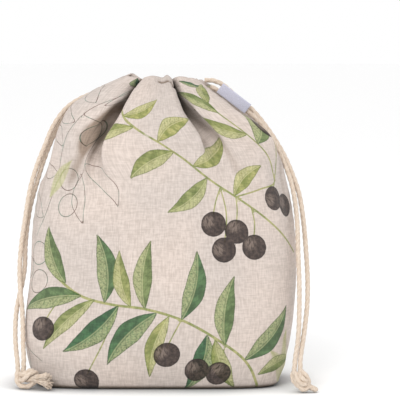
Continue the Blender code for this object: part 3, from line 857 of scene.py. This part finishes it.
def shell_faces(rows, columns, flat_base=False):
    """Faces of a closed shell of two grids, the outer one's vertices first.

    With a flat base, a single face closes row 0 of the outer grid, and another that of the inner.
    """
    shift = rows * columns
    numbers = np.arange(shift).reshape(rows, columns)
    outer = grid_faces(numbers)
    faces = outer.tolist() + (outer[:, ::-1] + shift).tolist()
    base = numbers[0].tolist()
    rim = numbers[:, -1].tolist() + numbers[-1, -2::-1].tolist() + numbers[-2::-1, 0].tolist()
    if flat_base:
        faces += [base[::-1], [corner + shift for corner in base]]
        rim.append(base[-1])
    else:
        rim += base[1:]
    return faces + [[b, a, a + shift, b + shift] for a, b in zip(rim, rim[1:])]


def linen_sheet(name, start, grid, print_places, material):
    """One panel's sheet of linen, from the seam at `start` to the next, with its thickness."""
    columns, rows = grid[0] + 1, grid[1] + 1
    cloth = np.linspace(start, start + PANEL_CLOTH, columns)
    up = np.linspace(0, cloth_length(), rows)
    outer = sheet_points(cloth, up)
    outer[0, :, 2] = BASE_LIFT
    across, along = np.meshgrid(cloth - start, up)
    hem = smooth_step((along - cloth_length() + CASING_DEPTH + 1) / 2)
    inner = outer - grid_normals(outer) * (CLOTH_THICK * (1 + CASING_EXTRA * hem))[:, :, None]
    inner[0] = outer[0] + (0, 0, CLOTH_THICK)
    for edge, beside in ((0, 1), (-1, -2)):
        step = unit(outer[:, beside] - outer[:, edge]) * SEAM_GAP / 2
        outer[:, edge] += step
        inner[:, edge] += step
    places = np.column_stack([across.ravel(), along.ravel()])
    values = print_values(print_places(places))
    # The creases' depth goes along with the places, for the painted shade in them.
    values["cloth"] = np.column_stack([places, crease_depth(cloth, up).ravel()])
    values = {key: np.concatenate([value, value]) for key, value in values.items()}
    vertices = np.concatenate([outer.reshape(-1, 3), inner.reshape(-1, 3)])
    return mesh_piece(name, vertices, shell_faces(rows, columns, flat_base=True), material,
                      values)


def smooth_route(route, spacing):
    keys = chord_keys(route)
    return smooth_rows(keys, route, np.linspace(0, keys[-1], max(4, round(keys[-1] / spacing))))


def tube(path, radii, sides, twist_length=math.inf, groove=0.0, phase=0.0, skip=0):
    """A tube along a path, its plies turning as they go, without its first `skip` rings.

    Gives vertices, faces and, for each vertex, its distance along and its place in the untwisted
    cord, which the fibres follow.
    """
    path = np.asarray(path, float)
    tangents = unit(np.gradient(path, axis=0))
    side = np.cross(tangents[0], (0.31, 0.52, 0.79))
    angle = np.linspace(0, 2 * np.pi, sides, endpoint=False)
    radii = np.broadcast_to(radii, len(path))
    rings, twist = [], []
    for point, tangent, radius, distance in zip(path, tangents, radii, chord_keys(path)):
        side = unit(side - tangent * (side @ tangent))
        other = np.cross(tangent, side)
        turn = phase + 2 * np.pi * distance / twist_length
        reach = radius * (1 - groove * (0.5 - 0.5 * np.cos(PLIES * (angle + turn))) ** 1.6)
        x, y = reach * np.cos(angle), reach * np.sin(angle)
        rings.append(point + np.outer(x, side) + np.outer(y, other))
        x, y = radius * np.cos(angle - turn), radius * np.sin(angle - turn)
        twist.append(np.column_stack([np.full(sides, distance), x, y]))
    rings, twist = np.concatenate(rings[skip:]), np.concatenate(twist[skip:])
    numbers = np.arange(len(rings)).reshape(-1, sides)
    faces = grid_faces(np.column_stack([numbers, numbers[:, 0]])).tolist()
    return rings, faces + [numbers[0, ::-1].tolist(), numbers[-1].tolist()], twist


def rope(path, diameter, phase, skip=0):
    """A laid cotton cord of three plies."""
    return tube(path, diameter / 2, CORD_SIDES, TWIST_LENGTH, PLY_GROOVE, phase, skip)


def cotton_piece(name, tubes, material):
    """One piece from several tubes."""
    faces, count = [], 0
    for rings, tube_faces, _ in tubes:
        faces += [[corner + count for corner in face] for face in tube_faces]
        count += len(rings)
    vertices = np.concatenate([rings for rings, _, _ in tubes])
    twist = np.concatenate([values for _, _, values in tubes])
    return mesh_piece(name, vertices, faces, material, {"twist": twist})


# ================= knots =================
# Diameter of the cord inside each knot, and its route there.
LEFT_KNOT = [
    (5.3, [(-143.9, -51.5, 20.5), (-143.6, -55, 17.5), (-144.2, -59, 12.5), (-143.6, -61, 7.5),
           (-140.8, -62, 4.2), (-136.6, -62.5, 3), (-132.3, -62.5, 3.4), (-128.8, -62, 5.6),
           (-126, -61.5, 8)]),
    (5.2, [(-138, -51.5, 21), (-138.5, -53.5, 16.5), (-140.5, -56.5, 12.5), (-140.3, -61.5, 9.5),
           (-137.6, -65, 10), (-134.6, -66.2, 13.5), (-130.4, -65.2, 16.8), (-126.6, -61.5, 17.2),
           (-124.6, -57.5, 14.5), (-126, -56.5, 10.5)]),
    (5.0, [(-141, -57, 15.5), (-138.8, -62.5, 14.5), (-134.5, -64.5, 17.3), (-130.6, -61.5, 19),
           (-128, -56.5, 17)]),
    (9.0, [(-139.5, -57, 11.5), (-133, -58.5, 11), (-127, -61, 10.8)]),
    (6.8, [(-134.5, -59.6, 10), (-128.8, -62.6, 10.8), (-124.6, -65, 11.2)]),
]
RIGHT_KNOT = [
    (5.2, [(131.3, -76.5, 21), (130, -75.5, 17), (130, -76.5, 12.8), (132.4, -80, 9.2),
           (135.8, -83.5, 6.4), (139.8, -86, 3.8), (143.4, -85.5, 4.4), (145.6, -82.8, 7.4)]),
    (5.4, [(137.3, -76.8, 22), (139.6, -80.2, 19.6), (142.8, -82.6, 16.6), (144.9, -83.2, 12.4),
           (144.6, -83.6, 8.4), (141, -84.5, 7.6)]),
    (5.2, [(133.2, -77, 19.5), (133.6, -82.5, 16.5), (135.6, -86.3, 12), (139.6, -87.5, 9.2),
           (143, -86, 9)]),
    (5.2, [(136.5, -78.5, 19.5), (137.4, -84.5, 16.6), (140.6, -87, 13.4), (144, -85.2, 11.4)]),
    (5.4, [(132, -78, 16.5), (133, -81.5, 12.4), (136.2, -84.6, 8.6), (140.6, -85.6, 6.4)]),
    (10.0, [(134.5, -78.5, 16), (138, -81.5, 11.2), (141.8, -82.5, 7)]),
]
KNOT_STEP = 1.1             # from ring to ring of its mesh
KNOT_REACH = 2.5            # a knot's rope that starts this near a cord's end carries it on
KNOT_SWELL = 4.0            # length over which it reaches its own diameter
TAIL_ROOT = (-126.3, -64.4, 11.2)
TAIL_ALONG = (0.86, -0.48, -0.05)
TAIL_LENGTH = 15.4
TAIL_SIZE = (2.9, 3.4)      # its root's half-sizes, across and up
TAIL_SPREAD = (2.6, 4.6)    # what they gain towards the tip
YARNS = 150
YARN_RADII = np.linspace(0.7, 0.5, 8)       # from root to tip
YARN_SIDES = 5
STUB = [(144.5, -82.2, 6.6), (148.4, -83.0, 4.9), (151.4, -83.6, 3.5), (154.6, -84.2, 2.8)]
STUB_STEP = 0.8
STUB_RADIUS = 3.0
STUB_ROUNDING = 2.0         # length over which its tip closes


def left_tail():
    """The frayed brush: yarns that spread, wave a little and end unevenly."""
    chance = random.Random(4)
    along = Vector(TAIL_ALONG).normalized()
    across = Vector((0, 0, 1)).cross(along).normalized()
    upward = along.cross(across)
    parts = []
    for _ in range(YARNS):
        turn = chance.uniform(0, 2 * math.pi)
        out = math.sqrt(chance.random())
        right, high = out * math.cos(turn), out * math.sin(turn)
        start = Vector(TAIL_ROOT) + across * TAIL_SIZE[0] * right + upward * TAIL_SIZE[1] * high
        length = TAIL_LENGTH + chance.uniform(-2.5, 1.8) + (2.2 if high < -0.2 else 0.0)
        spread_right = TAIL_SPREAD[0] * right + chance.gauss(0, 0.5)
        spread_up = TAIL_SPREAD[1] * high + chance.gauss(0, 0.5)
        wave, wave_turn = chance.uniform(0.1, 0.5), chance.uniform(0, 6)
        points = []
        for share in np.linspace(0, 1, len(YARN_RADII)).tolist():
            bend = share ** 1.5
            point = start + along * length * share + across * spread_right * bend
            point += upward * (spread_up * bend + wave * math.sin(7 * share + wave_turn))
            points.append((point.x, point.y, max(point.z, 0.5)))
        parts.append(tube(points, YARN_RADII, YARN_SIDES))
    return parts


def right_stub():
    """The short end out of the right knot, rounded at its tip."""
    path = smooth_route(STUB, STUB_STEP)
    from_tip = chord_keys(path)[-1] - chord_keys(path)
    radii = STUB_RADIUS * np.sqrt(np.clip(from_tip / STUB_ROUNDING, 0.12, 1))
    return tube(path, radii, sides=24, twist_length=12.0, groove=0.22)


def knot_parts(ropes):
    """The ropes of a knot. One that starts at a cord's end carries on with that cord's twist."""
    cords = [smooth_route(route, CORD_STEP) for route in CORDS.values()]
    parts = []
    for index, (diameter, route) in enumerate(ropes):
        gaps = [np.linalg.norm(cord[-1] - np.array(route[0])) for cord in cords]
        number = int(np.argmin(gaps))
        if gaps[number] > KNOT_REACH:
            parts.append(rope(smooth_route(route, KNOT_STEP), diameter, index))
            continue
        cord = cords[number]
        onward = smooth_route([tuple(cord[-1]), *route[1:]], KNOT_STEP)[1:]
        swell = np.clip(chord_keys(onward) / KNOT_SWELL, 0, 1)
        widths = CORD_DIAMETER + (diameter - CORD_DIAMETER) * np.append(np.zeros(len(cord)), swell)
        parts.append(rope(np.vstack([cord, onward]), widths, CORD_PHASE * number, len(cord) - 1))
    return parts


def make_knots(material):
    left = cotton_piece("knot_left_rope", knot_parts(LEFT_KNOT), material)
    tail = cotton_piece("knot_left_tail", left_tail(), material)
    right = cotton_piece("knot_right_rope", knot_parts(RIGHT_KNOT) + [right_stub()], material)
    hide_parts("knot_left")
    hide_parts("knot_left")
    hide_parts("knot_right")
    return {"left": [left, tail], "right": [right]}


def make_cords(material, knots):
    for number, (name, route) in enumerate(CORDS.items()):
        path = smooth_route(route, CORD_STEP)
        twisted = rope(path, CORD_DIAMETER, CORD_PHASE * number)
        piece = cotton_piece(name + "_rope", [twisted], material)
        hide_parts(name)
        tuple(path[0] * MM)
        [tuple(point * MM) for point in path]


# ================= label =================
LABEL_LENGTH = 35.5
LABEL_WIDTH = 11.5
LABEL_THICK = 0.7
LABEL_CENTRE = (72.2, -7.0, 287.1)
LABEL_TILT = math.radians(37.5)      # down to the right
LABEL_LEAN = math.radians(8.0)       # forward at the top
LABEL_GRID = (36, 14)                # columns and rows of vertices


def make_label(material):
    """The blank label: a folded ribbon with a soft bow, its long side in the seam."""
    columns, rows = LABEL_GRID
    x, z = np.meshgrid(np.linspace(-0.5, 0.5, columns) * LABEL_LENGTH,
                       np.linspace(-0.5, 0.5, rows) * LABEL_WIDTH)
    bow = 0.5 * np.cos(np.pi * x / LABEL_LENGTH) - 0.35 * (z / LABEL_WIDTH + 0.5) ** 2
    bow += 0.12 * np.sin(x / 3.1) * (z < 0)
    edge = np.minimum(LABEL_LENGTH / 2 - np.abs(x), LABEL_WIDTH / 2 - np.abs(z))
    half = LABEL_THICK / 2 * np.sqrt(np.clip(edge / 0.6, 0.05, 1))
    vertices = np.concatenate([np.stack([x, -bow + side * half, z], axis=-1).reshape(-1, 3)
                               for side in (-1, 1)])
    turn = Matrix.Rotation(LABEL_TILT, 3, "Y") @ Matrix.Rotation(LABEL_LEAN, 3, "X")
    vertices = vertices @ np.array(turn).T + LABEL_CENTRE
    places = np.column_stack([x.ravel(), z.ravel(), np.zeros(x.size)])
    label = mesh_piece("label_ribbon", vertices, shell_faces(rows, columns), material,
                       {"cloth": np.concatenate([places, places])})
    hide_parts("label")


# ================= camera, light and floor =================
def make_camera():
    data = bpy.data.cameras.new("camera")
    data.sensor_fit = "VERTICAL"
    data.sensor_height = SENSOR
    data.lens = SENSOR * CAMERA_DISTANCE / VIEW_HEIGHT
    data.clip_end = 50
    camera = add_thing("camera", data)
    look = Vector((0, math.cos(CAMERA_TILT), -math.sin(CAMERA_TILT)))
    up = Vector((0, math.sin(CAMERA_TILT), math.cos(CAMERA_TILT)))
    centre = Vector((VIEW_CENTRE[0], 0, 0)) + up * VIEW_CENTRE[1]
    camera.location = (centre - look * CAMERA_DISTANCE) * MM
    camera.rotation_euler = (math.pi / 2 - CAMERA_TILT, 0, 0)
    bpy.context.scene.camera = camera


def make_light():
    """A soft key light from the front left, in a plain white studio."""
    world = bpy.data.worlds.new("studio")
    bpy.context.scene.world = world
    world.use_nodes = True
    background = world.node_tree.nodes["Background"].inputs
    background["Color"].default_value = (1, 1, 1, 1)
    background["Strength"].default_value = 1.0
    data = bpy.data.lights.new("key", "AREA")
    data.shape = "DISK"
    data.size = KEY_SIZE
    data.energy = KEY_POWER
    key = add_thing("key", data)
    key.location = KEY_PLACE
    aim = Vector(KEY_AIM) - Vector(KEY_PLACE)
    key.rotation_euler = aim.to_track_quat("-Z", "Y").to_euler()
    view = bpy.context.scene.view_settings
    view.view_transform = "Standard"
    view.look = "None"


def make_floor():
    reach = FLOOR_REACH
    corners = [(-reach, -reach, 0), (reach, -reach, 0), (reach, reach, 0), (-reach, reach, 0)]
    add_mesh("floor", corners, [(0, 1, 2, 3)], floor_material())


# ================= the whole bag =================
make_camera()
linen = linen_material()
cotton = cotton_material()
front = linen_sheet("front_linen", 0.0, FRONT_GRID, lambda places: places, linen)
back = linen_sheet("back_linen", PANEL_CLOTH, BACK_GRID,
                   lambda places: np.array([PANEL_CLOTH, BACK_PRINT_TOP]) - places, linen)
for sheet, node in ((front, "front_panel"), (back, "back_panel")):
    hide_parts(node)
make_cords(cotton, make_knots(cotton))
make_label(label_material())
make_light()
make_floor()
